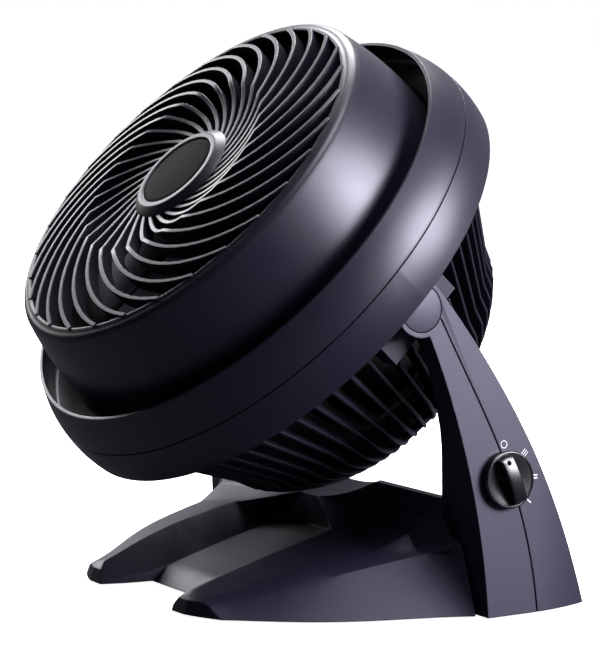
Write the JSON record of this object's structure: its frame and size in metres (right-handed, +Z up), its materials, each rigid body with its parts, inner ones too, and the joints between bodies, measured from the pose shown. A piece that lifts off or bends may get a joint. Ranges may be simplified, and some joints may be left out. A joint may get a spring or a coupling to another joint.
{
  "type": "air circulator fan",
  "caption": "Table-top air circulator with a spiral-vane front grille, deep outer ring, domed rear cage and a forked stand whose arms let the head tilt; rotary speed knob on one arm.",
  "frame": {"origin": "centre of the footprint box on the table: the middle of the overall box in X and Y, at the feet's underside", "axes": "+Z up, -Y is the side the fan blows towards, +X is the side of the arm with the speed knob"},
  "size_m": [0.3126, 0.2714, 0.328],
  "materials": {
    "housing_plastic": "fine moulded texture, satin",
    "stand_plastic": "fine moulded texture, satin",
    "grille_plastic": "satin",
    "badge_plastic": "satin, bare",
    "inner_plastic": "moulded",
    "impeller_plastic": "moulded",
    "switch_plastic": "moulded",
    "knob_plastic": "polished mould",
    "washer_plastic": "moulded",
    "terminal_plastic": "moulded",
    "capacitor_case": "moulded",
    "foot_rubber": "matte",
    "lamination_steel": "stacked laminations, black varnish",
    "ground_steel": "ground",
    "screw_steel": "zinc plated",
    "cast_aluminium": "die cast, black dip coat",
    "copper_wire": "enamelled wire",
    "sintered_bronze": "sintered"
  },
  "bodies": {
    "stand": {"stand_front_shell": "stand_plastic", "stand_rear_shell": "stand_plastic", "bottom_plate": "inner_plastic", "base_screws": "screw_steel", "arm_screws": "screw_steel", "rubber_feet": "foot_rubber", "pivot_caps": "stand_plastic", "rotary_switch": "switch_plastic", "switch_nut": "screw_steel", "run_capacitor": "capacitor_case", "capacitor_clamp": "screw_steel", "terminal_block": "terminal_plastic", "cord_gland": "foot_rubber"},
    "head": {"front_grille": "grille_plastic", "hub_badge": "badge_plastic", "front_shroud": "housing_plastic", "inner_duct": "inner_plastic", "rear_shroud": "housing_plastic", "rear_grille": "grille_plastic", "motor_cap": "grille_plastic", "stator_core": "lamination_steel", "stator_winding": "copper_wire", "front_end_bell": "cast_aluminium", "rear_end_bell": "cast_aluminium", "front_bearing": "sintered_bronze", "rear_bearing": "sintered_bronze", "motor_bolts": "screw_steel", "motor_nuts": "screw_steel", "grille_screws": "screw_steel", "duct_screws": "screw_steel", "shroud_screws": "screw_steel", "cage_screws": "screw_steel", "trunnion_pins": "ground_steel", "friction_washers": "washer_plastic", "pivot_screws": "screw_steel"},
    "impeller": {"impeller": "impeller_plastic", "impeller_nut": "screw_steel", "motor_shaft": "ground_steel", "rotor": "lamination_steel"},
    "knob": {"control_knob": "knob_plastic", "switch_spindle": "ground_steel"}
  },
  "joints": [
    {"name": "head_tilt", "type": "hinge", "parent": "stand", "child": "head", "pos_m": [0, 0.0172, 0.1736], "axis": [1, 0, 0], "range_deg": [-46.33, 33.67]},
    {"name": "impeller_spin", "type": "hinge", "parent": "head", "child": "impeller", "pos_m": [0, 0.0172, 0.1736], "axis": [0, -0.7233, 0.6905], "continuous": true},
    {"name": "knob_turn", "type": "hinge", "parent": "stand", "child": "knob", "pos_m": [0.14696, 0.068, 0.0764], "axis": [-0.9958, 0, -0.0918], "range_deg": [0, 135]}
  ]
}
